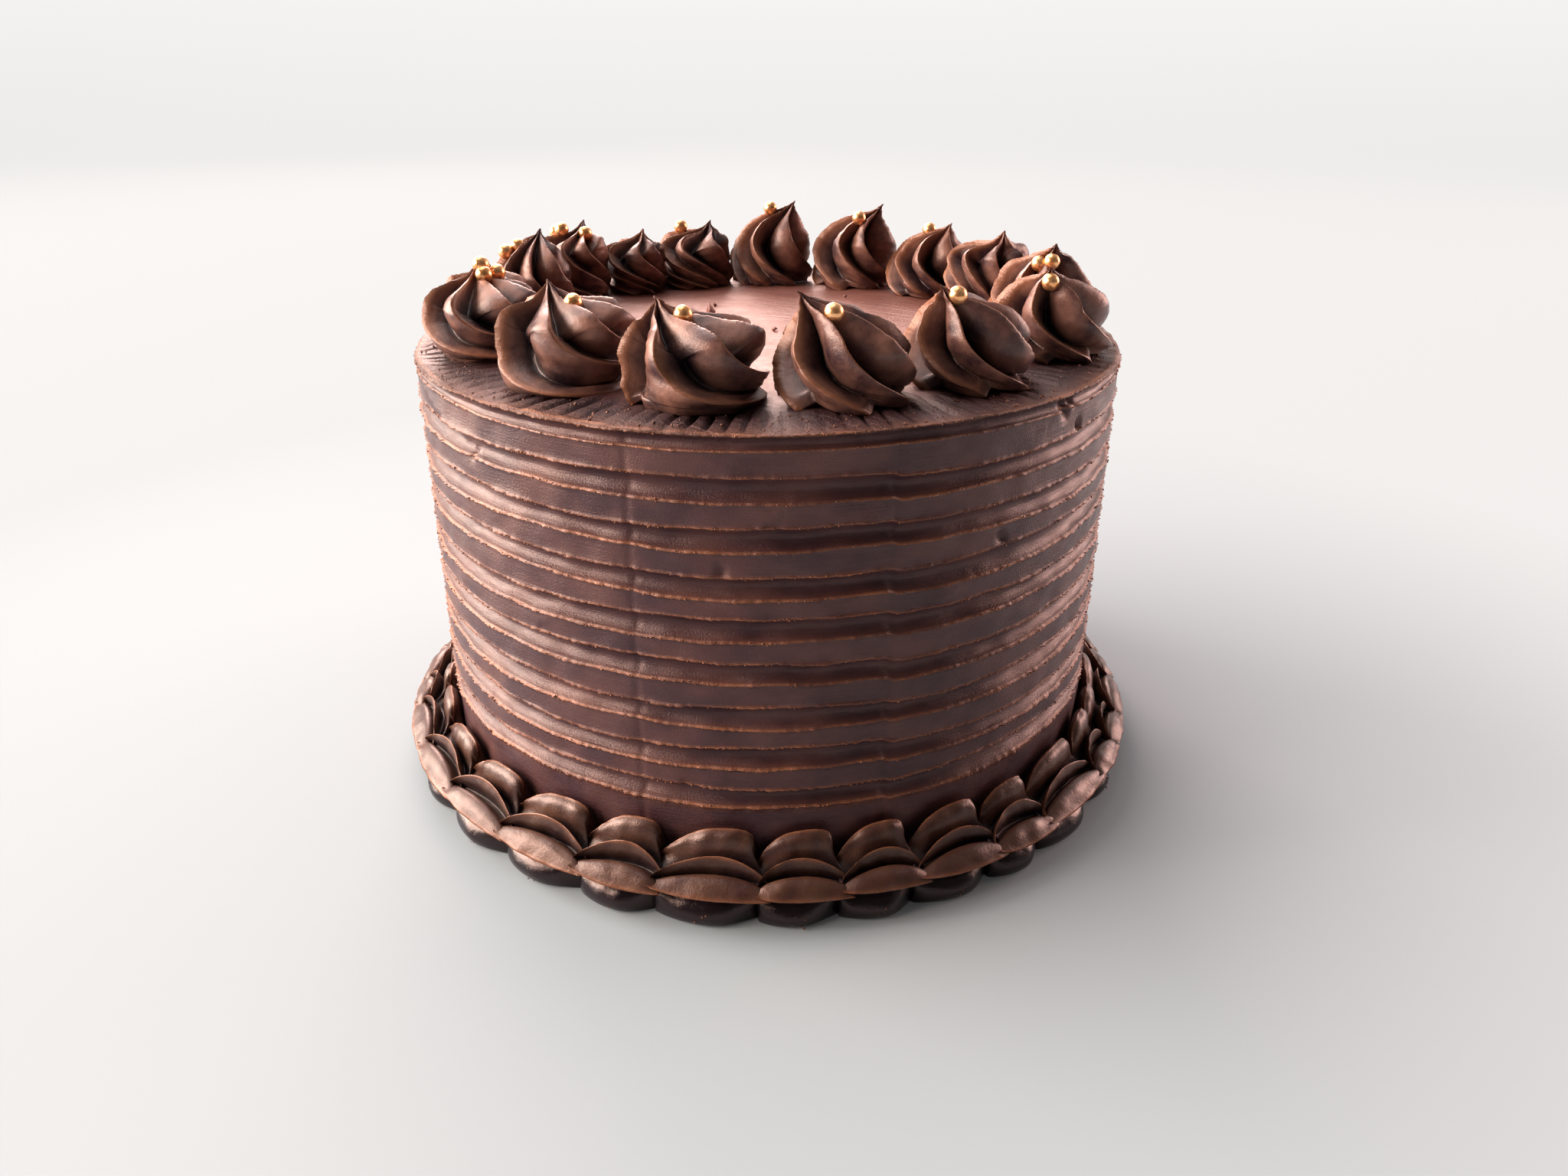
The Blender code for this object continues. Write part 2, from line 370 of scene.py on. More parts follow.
def piping_material(name, dark, warm):
    """Piped chocolate icing: satin faces, orange-brown thin edges with a painted highlight, the fins' painted
    golden sheen, painted shade in the creases and a glossy foot with painted shade.
    """
    n = Nodes(name)
    n.shader.inputs["Specular IOR Level"].default_value = 0.56
    n.shader.inputs["Specular Tint"].default_value = WARM_SHEEN
    cloud = n.noise((140, 140, 140), 3.0)
    colour = n.mix(n.ramp(cloud, 0.35, 0.68), dark, warm)
    grain = n.noise((3000, 3000, 3000), 3.0, 0.62)
    # Thin edges turn orange-brown, partly a painted highlight, and the fins' painted golden sheen takes the
    # same colour
    thin = n.math("MULTIPLY", n.mask("edge"), n.ramp(grain, 0.25, 0.6, 0.45, 1.0))
    colour = n.mix(thin, colour, PIPED_EDGE_HIGHLIGHT_AND_SHEEN)
    # Painted shade: where the edge mask is negative, in deep creases, the colour turns near-black
    colour = n.mix(n.ramp(n.mask("edge"), -0.06, -0.60), colour, PAINTED_CREASE_SHADE)
    axes = n.add("ShaderNodeSeparateXYZ")
    n.link(n.position, axes.inputs["Vector"])
    # Painted shade: below 6 mm the shells' feet take the near-black underside colour, blending up to 8.5 mm
    above = n.ramp(axes.outputs["Z"], 6.0 * MM, 8.5 * MM)
    colour = n.mix(above, SHADED_UNDERSIDE, colour)
    satin = n.ramp(n.noise((400, 400, 400), 3.0), 0.3, 0.7, 0.27, 0.42)
    roughness = n.math("MULTIPLY", satin, n.ramp(above, 0.0, 1.0, 0.40, 1.0))
    normal = n.bump(n.noise((500, 500, 500), 2.0), 0.30, 0.40 * MM)
    normal = n.bump(grain, 0.55, 0.13 * MM, normal)
    return n.finish(colour, roughness, normal)


def pearl_material():
    """Gold sugar pearl: a metallic skin, a little uneven."""
    n = Nodes("gold_pearl")
    n.shader.inputs["Metallic"].default_value = 0.85
    cloud = n.noise((700, 700, 700), 3.0)
    colour = n.mix(n.ramp(cloud, 0.35, 0.65), PEARL_DEEP, PEARL_LIGHT)
    roughness = n.ramp(cloud, 0.3, 0.7, 0.20, 0.34)
    normal = n.bump(n.noise((1800, 1800, 1800), 2.0), 0.2, 0.10 * MM)
    return n.finish(colour, roughness, normal)


def floor_material():
    """Pale studio paper that glows further off, so that it stays even."""
    n = Nodes("studio_paper")
    length = n.add("ShaderNodeVectorMath", operation="LENGTH")
    n.link(n.position, length.inputs[0])
    far = n.ramp(length.outputs["Value"], 90 * MM, 340 * MM)
    cloud = n.noise((3, 3, 3), 2.0)
    colour = n.mix(far, n.mix(cloud, PAPER_DIM, PAPER_BRIGHT), PAPER_FAR)
    n.shader.inputs["Specular IOR Level"].default_value = 0.0
    n.shader.inputs["Emission Color"].default_value = PAPER_GLOW_COLOUR
    axes = n.add("ShaderNodeSeparateXYZ")
    n.link(n.position, axes.inputs["Vector"])
    risen = n.ramp(axes.outputs["Z"], 0.0, 250 * MM, PAPER_GLOW, PAPER_GLOW * PAPER_GLOW_ABOVE)
    n.link(n.math("MULTIPLY", far, risen), n.shader.inputs["Emission Strength"])
    normal = n.bump(cloud, 0.02, 1.0 * MM)
    return n.finish(colour, n.ramp(cloud, 0.3, 0.7, 0.75, 0.85), normal)


# The cake under its combed icing

# Points round the cake, closer together over the front as far as FRONT_HALF to each side
FRONT_COLUMNS, BACK_COLUMNS = 400, 180
FRONT_HALF = math.radians(82)
GROOVES = 9
LOWEST_GROOVE = 26.5 * MM
GROOVE_PITCH = 10.3 * MM
GROOVE_WIDTH = 5.1 * MM
GROOVE_DEPTH = 2.2 * MM
TOP_GROOVE = 108.3 * MM
# Where the comb's run round the side meets its own start, and where an upright crease crosses the side
SEAM_AZIMUTH = math.radians(17)
CREASE_AZIMUTH = math.radians(-19)
# Comb slots across the outer part of the top, once round
COMB_SLOTS = 124
# The point that the knife's streaks on the top swing round
SPREAD_PIVOT = (-70 * MM, -160 * MM)
# Radii in mm of the top's rows of points, from the rim inwards
TOP_RADII = (
    86.5, 85.4, 84, 82, 80, 78, 76, 74, 72, 69, 66, 62,
    58, 54, 50, 46, 42, 37, 32, 26, 20, 13, 6,
)
# Torn edges in the side: azimuth (degrees) and height (mm) of both ends, and how far the upper part
# stands out (mm)
TEARS = (
    (-1.5, 90.6, 4.4, 97.0, 0.40),
    (12.0, 90.6, 16.6, 92.6, 0.35),
    (-69.0, 107.0, -46.0, 97.0, 0.75),
    (40.0, 103.0, 47.5, 108.5, 0.45),
    (-36.0, 61.0, -31.0, 66.0, 0.30),
    (24.0, 71.0, 30.0, 75.5, 0.30),
)
# Small pits in the side: azimuth (degrees), height, width and depth (mm)
PITS = (
    (46.4, 107.2, 1.9, 1.5),
    (51.0, 101.8, 1.3, 1.6),
    (48.6, 108.4, 1.3, 1.2),
    (34.4, 82.6, 1.5, 0.9),
    (-6.3, 81.6, 1.3, 0.8),
    (-47.5, 96.6, 1.0, 1.0),
    (-12.5, 28.5, 1.0, 0.6),
)


def tears(angle, height):
    """How far the torn edges raise the side."""
    raised = np.zeros(np.broadcast(angle, height).shape)
    for azimuth, low, other, high, reach in TEARS:
        start = np.array([math.radians(azimuth) * CAKE_RADIUS, low * MM])
        along = np.array([math.radians(other) * CAKE_RADIUS, high * MM]) - start
        length = np.linalg.norm(along)
        along /= length
        across, up = angle * CAKE_RADIUS - start[0], height - start[1]
        way = (across * along[0] + up * along[1]) / length
        beside = -across * along[1] + up * along[0] + 0.25 * MM * np.sin(way * 19)
        inside = smooth_step(way, -0.05, 0.10) * (1 - smooth_step(way, 0.90, 1.05))
        raised += reach * MM * inside * smooth_step(beside, -0.15 * MM, 0.15 * MM) * np.exp(
            -np.clip(beside, 0, None) / (2.2 * MM))
    return raised


def pits(angle, height):
    """How deep the small pits go."""
    depth = np.zeros(np.broadcast(angle, height).shape)
    for azimuth, level, width, deep in PITS:
        across = (angle - math.radians(azimuth)) * CAKE_RADIUS
        away = np.hypot(across + 0.4 * (height - level * MM), height - level * MM) / (width * MM)
        depth += deep * MM * np.exp(-(away ** 4))
    return depth


def comb_groove(number, angle):
    """Centre, width and depth of one groove at each azimuth, and how far its two burrs stand out."""
    seam = np.tanh((angle - SEAM_AZIMUTH) / math.radians(0.7))
    near_seam = bump_at(angle, SEAM_AZIMUTH, math.radians(25))
    centre = LOWEST_GROOVE + number * GROOVE_PITCH + 0.55 * MM * wander(angle, 40 + number, 1, 5)
    centre = centre + 0.12 * MM * wander(angle, 60 + number, 12, 40) - 0.45 * MM * seam * near_seam
    width = GROOVE_WIDTH * (1 + 0.09 * wander(angle, 80 + number, 2, 9))
    depth = GROOVE_DEPTH * (1 + 0.14 * wander(angle, 100 + number, 2, 12))
    if number == GROOVES - 1:
        centre = TOP_GROOVE + 0.5 * MM * wander(angle, 49, 1, 4)
        fade = 0.25 + 0.75 * smooth_step(np.cos(angle - math.radians(5)), 0.15, 0.75)
        width = 3.1 * MM * fade
        depth = 1.1 * MM * fade
    burrs = []
    for side in (0, 1):
        seed = 200 + 2 * number + side
        ragged = 0.75 * wander(angle, seed, 60, 420, 60) + 0.5 * wander(angle, seed + 50, 8, 40)
        burrs.append(MM * np.clip(0.30 + 0.48 * ragged, 0.02, 1.20))
    return centre, width, depth, burrs


def side_face(angle, height):
    """Radius of the combed side's flat bands, with their slow waves, crease and seam."""
    radius = CAKE_RADIUS - 0.55 * MM + 0.22 * MM * wander(angle, 3, 2, 9)
    radius = radius + 0.10 * MM * speckle(angle, height, 5, 9 * MM)
    radius = radius + tears(angle, height) - pits(angle, height)
    radius = radius - 0.25 * MM * bump_at(angle, CREASE_AZIMUTH, math.radians(0.5))
    return radius - 0.30 * MM * bump_at(angle, SEAM_AZIMUTH, math.radians(0.6))


def side_rows(angle):
    """Radius, height and edge mask of each row of the side, from the foot to just under the rim."""
    zero = np.zeros_like(angle)
    rows = []

    def row(radius, height, edge=0.0):
        rows.append((radius, height, zero + edge))

    face = side_face(angle, zero)
    row(face - 0.6 * MM, zero)
    row(face, zero + 0.8 * MM)
    below = zero + 5.0 * MM
    row(face, below)
    for number in range(GROOVES):
        centre, width, depth, burrs = comb_groove(number, angle)
        low, high = centre - width / 2, centre + width / 2
        for share in (0.10, 0.32, 0.55, 0.78, 0.92):
            height = below + (low - below) * share
            row(side_face(angle, height), height)
        row(side_face(angle, low) + burrs[0] * 0.30, low - 0.24 * MM, 0.25)
        row(side_face(angle, low) + burrs[0], low, 1.0)
        for share in (0.06, 0.18, 0.36, 0.56, 0.76, 0.91):
            height = low + width * share
            hollow = depth * math.sin(math.pi * share) ** 0.75
            streak = 0.07 * MM * wander(angle, 300 + 10 * number + round(share * 9), 3, 60, 20)
            row(side_face(angle, height) - hollow + streak, height, 0.15 if share in (0.06, 0.91) else 0.0)
        row(side_face(angle, high) + burrs[1], high, 1.0)
        row(side_face(angle, high) + burrs[1] * 0.30, high + 0.24 * MM, 0.25)
        below = high + 0.24 * MM
    return rows


def rim_height(angle):
    """Height of the top's rim round the cake, uneven as spread by hand."""
    slow, quick = wander(angle, 7, 3, 14), wander(angle, 8, 30, 120, 20)
    return CAKE_TOP - 0.75 * MM + 0.45 * MM * slow + 0.18 * MM * quick


def top_height(angle, radius):
    """Height of the spread top: comb slots across its outer part, and fine swept streaks inside."""
    x, y = radius * np.sin(angle), -radius * np.cos(angle)
    level = CAKE_TOP - 0.35 * MM + 0.16 * MM * speckle(x / CAKE_RADIUS, y, 11, 26 * MM)
    slant = 2.5 * (radius - 80 * MM) / CAKE_RADIUS
    slots = np.exp(-((np.sin(COMB_SLOTS / 2 * angle + slant + wander(angle, 12, 3, 9)) / 0.36) ** 2))
    outer = smooth_step(radius, 70 * MM, 75 * MM) * (1 - smooth_step(radius, 86.2 * MM, 87.6 * MM))
    level = level - 1.0 * MM * slots * outer * np.clip(0.75 + 0.4 * wander(angle, 14, 4, 18), 0.2, 1.15)
    swing = np.hypot(x - SPREAD_PIVOT[0], y - SPREAD_PIVOT[1])
    return level + 0.10 * MM * np.sin(swing / (1.7 * MM) + 3 * np.sin(swing / (9 * MM)))


def cake_surface():
    """The whole iced cake as one closed surface, from the centre of its foot to the centre of its top."""
    front = np.linspace(-FRONT_HALF, FRONT_HALF, FRONT_COLUMNS, endpoint=False)
    back = np.linspace(FRONT_HALF, 2 * math.pi - FRONT_HALF, BACK_COLUMNS, endpoint=False)
    angle = np.concatenate([front, back])
    rows = [(CAKE_RADIUS * 0.5 + 0 * angle, 0 * angle, 0 * angle)] + side_rows(angle)
    rim = rim_height(angle)
    face = side_face(angle, rim)
    below = rows[-1][1]
    rows.append((face, below + (rim - below) * 0.5, 0 * angle + 0.2))
    rows.append((face - 0.05 * MM, rim - 0.25 * MM, 0 * angle + 0.55))
    rows.append((face - 0.7 * MM, rim + 0.10 * MM, 0 * angle + 0.75))
    for radius in TOP_RADII:
        reach = radius * MM
        height = top_height(angle, reach)
        blend = smooth_step(reach, 82 * MM, 87 * MM)
        rows.append((0 * angle + reach, height + (rim - height) * blend, 0 * angle + 0.25 * blend))
    radius, height, edge = (np.array([row[k] for row in rows]) for k in range(3))
    points = np.stack([radius * np.sin(angle), -radius * np.cos(angle), height], axis=-1)
    points[..., 2] = np.minimum(points[..., 2], CAKE_TOP + 0.25 * MM)
    return capped_grid(points, edge)


# Piped rosettes

def through(knots, at):
    """Values of each column of the knots on a smooth curve through them, at shares 0 to 1 of the way."""
    knots = np.asarray(knots, dtype=float)
    padded = np.vstack([2 * knots[0] - knots[1], knots, 2 * knots[-1] - knots[-2]])
    place_on = np.asarray(at) * (len(knots) - 1)
    whole = np.clip(place_on.astype(int), 0, len(knots) - 2)
    t = (place_on - whole)[:, None]
    a, b, c, d = (padded[whole + k] for k in range(4))
    return 0.5 * (2 * b + (c - a) * t + (2 * a - 5 * b + 4 * c - d) * t**2 + (3 * b - a - 3 * c + d) * t**3)


# Rosettes: azimuth in degrees, ring radius, width, height and lean in mm, kind of swirl
ROSETTES = (
    (-13, 65, 30.5, 20.5, 8.2, "coil"),
    (14, 65, 30.5, 22.2, 9.8, "slant"),
    (41, 66, 29.5, 21.5, 9.6, "slant"),
    (70, 71, 28.5, 21.0, 8.5, "slant"),
    (94, 71, 26.5, 21.5, 8.0, "slant"),
    (115, 67, 23.6, 21.0, 6.0, "coil"),
    (135, 66, 23.6, 20.0, 7.0, "slant"),
    (157, 65, 25.6, 23.2, 8.5, "slant"),
    (179, 65, 24.6, 23.0, 6.5, "slant"),
    (200, 65, 23.2, 18.0, 5.0, "coil"),
    (218, 64, 18.6, 17.0, 3.5, "coil"),
    (234, 69, 21.4, 20.5, 5.5, "coil"),
    (252, 67, 22.8, 20.5, 6.5, "slant"),
    (270, 72, 22.8, 16.5, 4.5, "coil"),
    (290, 71, 27.5, 19.5, 6.0, "coil"),
    (319, 66, 29.5, 21.0, 5.0, "coil"),
)
# From foot to peak, for a rosette 30 wide and 20 tall: reach and height in mm, share of the lean, depth in mm
# of upright and of lying flutes, and twist in ridges
COIL_PROFILE = (
    (14.0, 0.0, 0.00, 2.25, 1.75, 2.9),
    (15.1, 1.4, 0.00, 4.0, 3.0, 2.5),
    (15.5, 3.6, 0.00, 6.0, 3.75, 1.9),
    (15.5, 6.0, 0.00, 7.25, 4.25, 1.3),
    (15.4, 8.8, 0.00, 8.0, 5.5, 0.7),
    (15.0, 11.6, 0.01, 8.25, 6.75, 0.3),
    (13.9, 14.0, 0.04, 8.0, 7.75, 0.1),
    (11.4, 15.7, 0.13, 6.75, 6.75, 0.03),
    (7.6, 16.5, 0.42, 4.625, 4.625, 0.0),
    (4.0, 17.2, 0.76, 2.75, 2.75, 0.0),
    (1.7, 18.5, 0.92, 1.25, 1.25, 0.0),
    (0.7, 19.5, 0.98, 0.5, 0.5, 0.0),
    (0.15, 20.2, 1.06, 0.0, 0.0, 0.0),
)
SLANT_PROFILE = (
    (13.8, 0.0, 0.00, 2.5, 2.5, 1.45),
    (15.0, 1.6, 0.00, 4.75, 4.75, 1.20),
    (15.5, 3.8, 0.00, 7.0, 7.0, 0.84),
    (15.4, 6.4, 0.00, 8.25, 8.25, 0.48),
    (14.8, 9.0, 0.01, 9.0, 9.0, 0.22),
    (13.6, 11.4, 0.04, 9.0, 9.0, 0.06),
    (11.8, 13.6, 0.11, 8.25, 8.25, 0.0),
    (9.2, 15.6, 0.24, 6.375, 6.375, -0.05),
    (6.2, 17.1, 0.45, 4.375, 4.375, -0.10),
    (3.4, 18.2, 0.70, 2.5, 2.5, -0.15),
    (1.4, 19.1, 0.87, 1.0, 1.0, -0.18),
    (0.7, 19.7, 0.95, 0.5, 0.5, -0.20),
    (0.15, 20.4, 1.06, 0.0, 0.0, -0.20),
)
PROFILES = {"coil": COIL_PROFILE, "slant": SLANT_PROFILE}
# Where the crack over each ridge is deepest, as a share of the way to the next ridge up
CRACK_SHARE = {"coil": 0.17, "slant": 0.15}
PROFILE_WIDTH, PROFILE_HEIGHT = 30.0, 20.0
ROSETTE_ROWS = 126
RIDGES = 7
# Places of a ridge's points between one rim and the next
RIDGE_SHARES = (0.0, 0.018, 0.045, 0.08, 0.115, 0.155, 0.21, 0.28, 0.37, 0.48, 0.61, 0.74, 0.87, 0.96)
# Azimuth on a coil where its ridges turn up
TURNED_UP = math.radians(-130)


def twist_weight(angle, kind):
    """Share of the twist at each azimuth: a coil's ridges lie down at the right and stand at the left."""
    if kind == "slant":
        return np.ones_like(angle)
    way = (angle - TURNED_UP) % (2 * math.pi) / (2 * math.pi)
    return 0.08 + 0.92 * np.clip(way / 0.44, 0, 1) * (1 - smooth_step(way, 0.56, 1.0))


def ridge_angles(phases, twist, kind):
    """Azimuth of each point of a ring, so that its ridges keep to their phases under the twist."""
    angle = np.linspace(-math.pi, math.pi, 721)
    field = RIDGES * angle / (2 * math.pi) - twist * twist_weight(angle, kind)
    field = np.maximum.accumulate(field + 1e-6 * np.arange(len(field)))
    start = field[0]
    wrapped = (phases - start) % RIDGES + start
    turns = np.floor((phases - start) / RIDGES)
    return np.interp(wrapped, field, angle) + 2 * math.pi * turns


def flute_depth(place_in, crack):
    """Depth of the flute between a ridge and the next one up: steep into the crack, then a plump face."""
    return min((place_in / crack) ** 0.62, ((1 - place_in) / (1 - crack)) ** 1.45)


def outward(points):
    """Unit normals of a grid of points whose columns close on themselves, away from the inside."""
    up = np.gradient(points, axis=0)
    along = np.roll(points, -1, axis=1) - np.roll(points, 1, axis=1)
    normals = np.cross(along, up)
    return normals / np.maximum(np.linalg.norm(normals, axis=-1, keepdims=True), 1e-12)


def rosette_surface(number, azimuth, ring, width, height, lean, kind):
    """One piped rosette: thin ridges and deep flutes that swirl up from its foot to a leaning peak."""
    draw = np.random.default_rng(500 + number)
    share = np.linspace(0, 1, ROSETTE_ROWS)
    reach, level, leaned, upright, lying, twist = through(PROFILES[kind], share).T
    wide, tall = width / PROFILE_WIDTH * MM, height / PROFILE_HEIGHT * MM
    spacing = 1 + draw.uniform(-0.34, 0.34, RIDGES)
    starts = np.concatenate([[0], np.cumsum(spacing / spacing.mean())]) + draw.uniform(0, 1)
    strength = draw.uniform(-0.07, 0.03, RIDGES + 1)
    strength[-1] = strength[0]
    phases, rim, swell, flute = [], [], [], []
    for ridge in range(RIDGES):
        gap = starts[ridge + 1] - starts[ridge]
        for place_in in RIDGE_SHARES:
            phases.append(starts[ridge] + gap * place_in)
            rim.append(max(0.0, 1 - min(place_in, 1 - place_in) / 0.036))
            swell.append(strength[ridge] * (1 - place_in) + strength[ridge + 1] * place_in)
            flute.append(flute_depth(place_in, CRACK_SHARE[kind]) * gap**0.7)
    phases, rim, swell, flute = (np.array(v) for v in (phases, rim, swell, flute))
    plain = np.zeros((ROSETTE_ROWS, len(phases), 3))
    depth = np.zeros(plain.shape[:2])
    for i in range(ROSETTE_ROWS):
        angle = ridge_angles(phases, twist[i], kind)
        weight = twist_weight(angle, kind)
        depth[i] = (upright[i] * (1 - weight) + lying[i] * weight) * wide
        out = reach[i] * wide * (1 + swell)
        plain[i, :, 0] = out * np.cos(angle) - lean * MM * leaned[i]
        plain[i, :, 1] = out * np.sin(angle)
        plain[i, :, 2] = level[i] * tall
    ragged = rim * draw.uniform(-1, 1, plain.shape[:2]) * 0.11 * MM
    way = 2 * math.pi * share[:, None] + 2 * math.pi * phases[None, :] / RIDGES
    lumps = 0.16 * MM * wander(way, 720 + number, 2, 12, 10) * (1 - 0.8 * share[:, None])
    counted = np.interp(phases, starts, np.arange(RIDGES + 1))
    near = np.array([round(place_on) % RIDGES for place_on in counted])
    seeds = range(740 + 20 * number, 740 + 20 * number + RIDGES)
    waves = np.stack([wander(2 * math.pi * share, seed, 1, 5, 6) for seed in seeds], axis=1)
    wavy = 0.42 * MM * waves[:, near] * (1 - flute / flute.max()) * (1 - share[:, None]) ** 0.5
    points = plain - outward(plain) * (depth * flute - ragged - lumps - wavy)[..., None]
    points[..., 2] = np.maximum(points[..., 2], 0.0)
    turn = math.radians(azimuth)
    spin = np.array([[math.cos(turn), -math.sin(turn), 0], [math.sin(turn), math.cos(turn), 0], [0, 0, 1]])
    centre = np.array([ring * MM * math.sin(turn), -ring * MM * math.cos(turn), CAKE_TOP - 0.5 * MM])
    points = points @ spin.T + centre
    points[..., 2] = np.minimum(points[..., 2], cad_box[1].z - 0.1 * MM)
    # Painted shade: the deep flutes get a negative mask, which the material turns near-black
    crease_shade_mask = (flute / flute.max()) ** 1.6 * (depth / depth.max())
    return capped_grid(points, rim - crease_shade_mask)


# Shell border

SHELLS = 32
# Azimuths in degrees where the shells that the photograph shows meet; the others are about evenly long
FRONT_JOINTS = (
    -87.2, -79.1, -66.6, -53.0, -39.6, -26.2, -14.8,
    -0.9, 9.9, 20.5, 32.7, 43.0, 57.7, 67.0, 76.0,
)
# Cross-sections along each shell
SHELL_STEPS = 36
# A shell's section where it is fullest, from the foot at the wall over the top: reach outwards from the cake
# and height in mm, how sharp an edge (1) or how deep a crease (-1) the point is, a crease's value also
# setting its painted shade, and its fin
SHELL_SECTION = (
    (-0.8, 0.0, 0.0, "wall"),
    (-0.6, 9.0, 0.0, "wall"),
    (0.1, 16.4, 0.0, "petal"),
    (1.7, 19.0, 1.0, "petal"),
    (3.5, 17.8, 0.0, "petal"),
    (4.5, 14.4, 0.0, "petal"),
    (4.4, 11.2, -1.0, "crescent"),
    (5.1, 13.4, 0.0, "crescent"),
    (6.4, 16.0, 1.0, "crescent"),
    (7.0, 13.2, 0.0, "crescent"),
    (6.2, 9.8, -0.7, "crescent"),
    (7.0, 10.6, 0.0, "leaf"),
    (8.8, 12.4, 0.0, "leaf"),
    (11.2, 11.5, 0.0, "leaf"),
    (13.2, 8.8, 1.0, "rim"),
    (11.4, 8.1, 0.0, "rim"),
    (9.6, 6.8, -0.6, "bulge"),
    (11.4, 5.2, 0.0, "bulge"),
    (12.5, 3.0, 0.0, "bulge"),
    (12.0, 0.9, 0.0, "bulge"),
    (10.8, 0.0, 0.0, "bulge"),
)
# Each fin's reach and height in mm at the shell's left end and at its right end, how bluntly it tapers there,
# its rise in mm from left to right, its length and shift in shares of the shell, and its painted golden
# sheen.
# The bulge keeps its section's heights.
FINS = {
    "petal": (3.8, 11.0, 2.6, 12.5, 0.60, 0.14, 3.2, 0.98, -0.08, 0.14),
    "crescent": (9.8, 10.0, 9.0, 9.3, 0.60, 0.65, 0.6, 1.12, 0.0, 0.05),
    "leaf": (10.8, 9.4, 11.4, 8.8, 0.50, 0.55, 0.0, 1.12, 0.0, 0.17),
    "rim": (11.4, 9.4, 12.4, 8.4, 0.55, 0.45, -0.5, 1.14, 0.0, 0.10),
    "bulge": (7.6, None, 7.0, None, 0.45, 1.20, 0.0, 1.04, -0.05, 0.0),
}


def shell_knots(draw):
    """The section's points with their values along the shell, each fin a little different on each shell."""
    taller = {fin: draw.uniform(-0.5, 0.4) for fin in FINS}
    wider = {fin: draw.uniform(-0.4, 0.3) for fin in FINS}
    knots = []
    for out, up, edge, fin in SHELL_SECTION:
        if fin == "wall":
            knots.append((out, up, edge, out, up, out, up, 0.1, 0.1, 0.0, 1.0, 0.0, 0.0))
            continue
        left_out, left_up, right_out, right_up, *rest = FINS[fin]
        if fin == "bulge":
            left_up = right_up = up
        else:
            up = up + taller[fin]
        curl = 0.9 * max(edge, 0.0)
        left = (left_out + curl, left_up + curl)
        knots.append((out + wider[fin], up, edge, *left, right_out, right_up, *rest))
    return np.array(knots)


def shell_outline(knots):
    """The section's points, closely spaced and kept sharp at the thin edges."""
    sharp = [0] + [i for i, knot in enumerate(knots) if knot[2] >= 1.0] + [len(knots) - 1]
    parts = []
    for first, last in zip(sharp, sharp[1:]):
        even = np.linspace(0, 1, 4 * (last - first) + 1)[:-1]
        shares = 0.40 * even + 0.60 * (0.5 - 0.5 * np.cos(math.pi * even))
        parts.append(through(knots[first:last + 1], shares))
    return np.concatenate(parts + [knots[-1:]])


def dents(along, across, seed, terms=22):
    """Smooth noise of about -1 to 1 over a patch, in waves of up to five along it and seven across it."""
    draw = np.random.default_rng(seed)
    total = np.zeros(np.broadcast(along, across).shape)
    for _ in range(terms):
        cycles = draw.uniform(0.3, 4.5) * along + draw.uniform(-7, 7) * across
        total += draw.uniform(0.4, 1.0) * np.sin(2 * math.pi * cycles + draw.uniform(0, 2 * math.pi))
    return total / math.sqrt(terms)


def shell_joints():
    """Azimuths where one shell meets the next, once round the cake."""
    draw = np.random.default_rng(31)
    first, last = FRONT_JOINTS[0], FRONT_JOINTS[-1]
    hidden = np.linspace(last, first + 360, SHELLS - len(FRONT_JOINTS) + 2)
    hidden[1:-1] += draw.uniform(-1.0, 1.0, len(hidden) - 2)
    return np.radians(np.concatenate([FRONT_JOINTS, hidden[1:]]))


def shell_surface(number):
    """One piped shell: a leaf over a glossy bulge, a crescent behind it and a petal at the wall."""
    draw = np.random.default_rng(900 + number)
    outline = shell_outline(shell_knots(draw))
    (out, up, edge, left_out, left_up, right_out, right_up,
     left_blunt, right_blunt, rise, length, shift, fin_painted_sheen) = outline.T[:, None, :]
    share = 0.5 - 0.5 * np.cos(math.pi * np.linspace(0, 1, SHELL_STEPS)[:, None])
    bent = share ** draw.uniform(0.88, 1.15)
    start = np.sin(math.pi / 2 * np.clip(2 * bent, 0, 1))
    end = np.sin(math.pi / 2 * np.clip(2 - 2 * bent, 0, 1))
    weight = 0.05 + 0.95 * start ** left_blunt * end ** right_blunt
    reach = (left_out + (right_out - left_out) * share) * (1 - weight) + out * weight
    height = (left_up + (right_up - left_up) * share) * (1 - weight) + (up + rise * (share - 0.5)) * weight
    joints = shell_joints()
    middle = (joints[number] + joints[number + 1]) / 2
    pitch = joints[number + 1] - joints[number]
    azimuth = middle + ((share - 0.5) * length + shift) * pitch
    around = np.arange(outline.shape[0])[None, :] / outline.shape[0]
    lumps = 0.16 * dents(share, around, 950 + number) * smooth_step(up, 0.5, 6)
    ragged = np.clip(edge, 0, 1) ** 6 * draw.uniform(-1, 1, reach.shape) * 0.10
    radius = CAKE_RADIUS + np.minimum(reach + ragged + lumps, 13.3) * MM
    height = np.maximum(height + ragged + 0.6 * lumps, 0.0) * MM
    points = np.stack([radius * np.sin(azimuth), -radius * np.cos(azimuth), height], axis=-1)
    # The mask: thin edges and the fins' painted golden sheen raise it, creases lower it for painted shade
    mask = np.clip(np.clip(edge, 0, 1) ** 5 + fin_painted_sheen + np.minimum(edge, 0), -1, 1)
    return capped_grid(points, np.broadcast_to(mask, reach.shape))


# Crumbs

